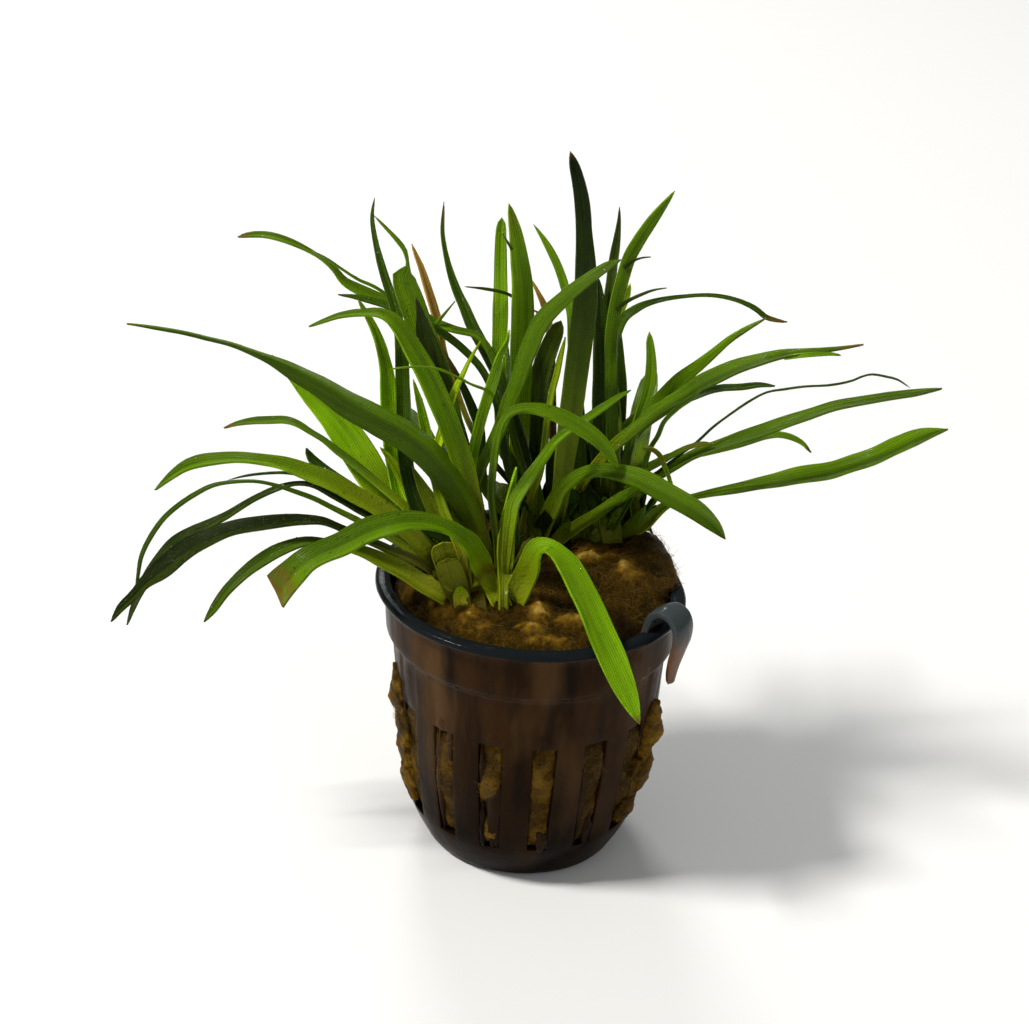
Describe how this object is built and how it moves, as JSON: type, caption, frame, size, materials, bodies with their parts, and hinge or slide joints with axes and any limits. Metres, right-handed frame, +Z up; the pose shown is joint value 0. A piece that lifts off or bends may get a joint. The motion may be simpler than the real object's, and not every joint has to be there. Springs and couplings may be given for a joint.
{
  "type": "potted pipewort",
  "caption": "Grass-like water plant with arching strap leaves in a small slotted net pot filled with wet mineral wool.",
  "frame": {"origin": "middle of the flat underside of the pot, where the pot's axis meets the surface that it stands on", "axes": "+Z up along the pot's axis; -Y towards the viewer of the picture; +X to the viewer's right"},
  "size_m": [0.1361, 0.0856, 0.1189],
  "materials": {
    "pot_plastic": "gloss",
    "wet_wool": "matte",
    "crown_flesh": "satin",
    "leaf_green": "gloss",
    "leaf_dark": "gloss",
    "leaf_brown": "satin"
  },
  "bodies": {
    "root": {"crown_left": "crown_flesh", "crown_middle": "crown_flesh", "crown_right": "crown_flesh", "leaf_back_left": "leaf_green", "leaf_back_low_left": "leaf_green", "leaf_back_middle_low": "leaf_green", "leaf_back_middle_wide": "leaf_green", "leaf_back_right_low": "leaf_green", "leaf_back_right_wide": "leaf_green", "leaf_front_folded": "leaf_green", "leaf_left_bent_over": "leaf_green", "leaf_left_bright_spear": "leaf_green", "leaf_left_crossing": "leaf_green", "leaf_left_deep_gloss": "leaf_dark", "leaf_left_front_light": "leaf_green", "leaf_left_grey": "leaf_dark", "leaf_left_kinked": "leaf_green", "leaf_left_long_folded": "leaf_green", "leaf_left_low": "leaf_green", "leaf_left_over_middle": "leaf_green", "leaf_left_short_round": "leaf_green", "leaf_left_shouldered": "leaf_green", "leaf_left_slim_high": "leaf_green", "leaf_left_slip": "leaf_green", "leaf_left_spear": "leaf_green", "leaf_left_tall_slim": "leaf_green", "leaf_left_upright": "leaf_green", "leaf_left_wide_light": "leaf_green", "leaf_left_wiry_arch": "leaf_dark", "leaf_left_yellow_arch": "leaf_green", "leaf_middle_bright_strip": "leaf_green", "leaf_middle_brown": "leaf_brown", "leaf_middle_brown_short": "leaf_brown", "leaf_middle_brownish": "leaf_brown", "leaf_middle_dark_curved": "leaf_dark", "leaf_middle_dark_high": "leaf_dark", "leaf_middle_dark_short": "leaf_dark", "leaf_middle_far_left": "leaf_green", "leaf_middle_front_arch": "leaf_green", "leaf_middle_left_slim": "leaf_green", "leaf_middle_long_low_right": "leaf_green", "leaf_middle_long_right": "leaf_green", "leaf_middle_slim_right": "leaf_green", "leaf_middle_tallest": "leaf_dark", "leaf_middle_upright_dark": "leaf_dark", "leaf_middle_upright_wide": "leaf_green", "leaf_right_blue_tip": "leaf_green", "leaf_right_dark_inner": "leaf_dark", "leaf_right_dark_level": "leaf_dark", "leaf_right_glossy_low": "leaf_green", "leaf_right_high": "leaf_green", "leaf_right_sheath": "leaf_green", "leaf_right_slim_low": "leaf_green", "leaf_right_spear": "leaf_green", "leaf_right_tall_curved": "leaf_green", "leaf_right_wide_dark": "leaf_dark", "leaf_right_wiry_top": "leaf_dark", "leaf_right_yellow": "leaf_green", "pot": "pot_plastic", "wool": "wet_wool"}
  },
  "joints": []
}
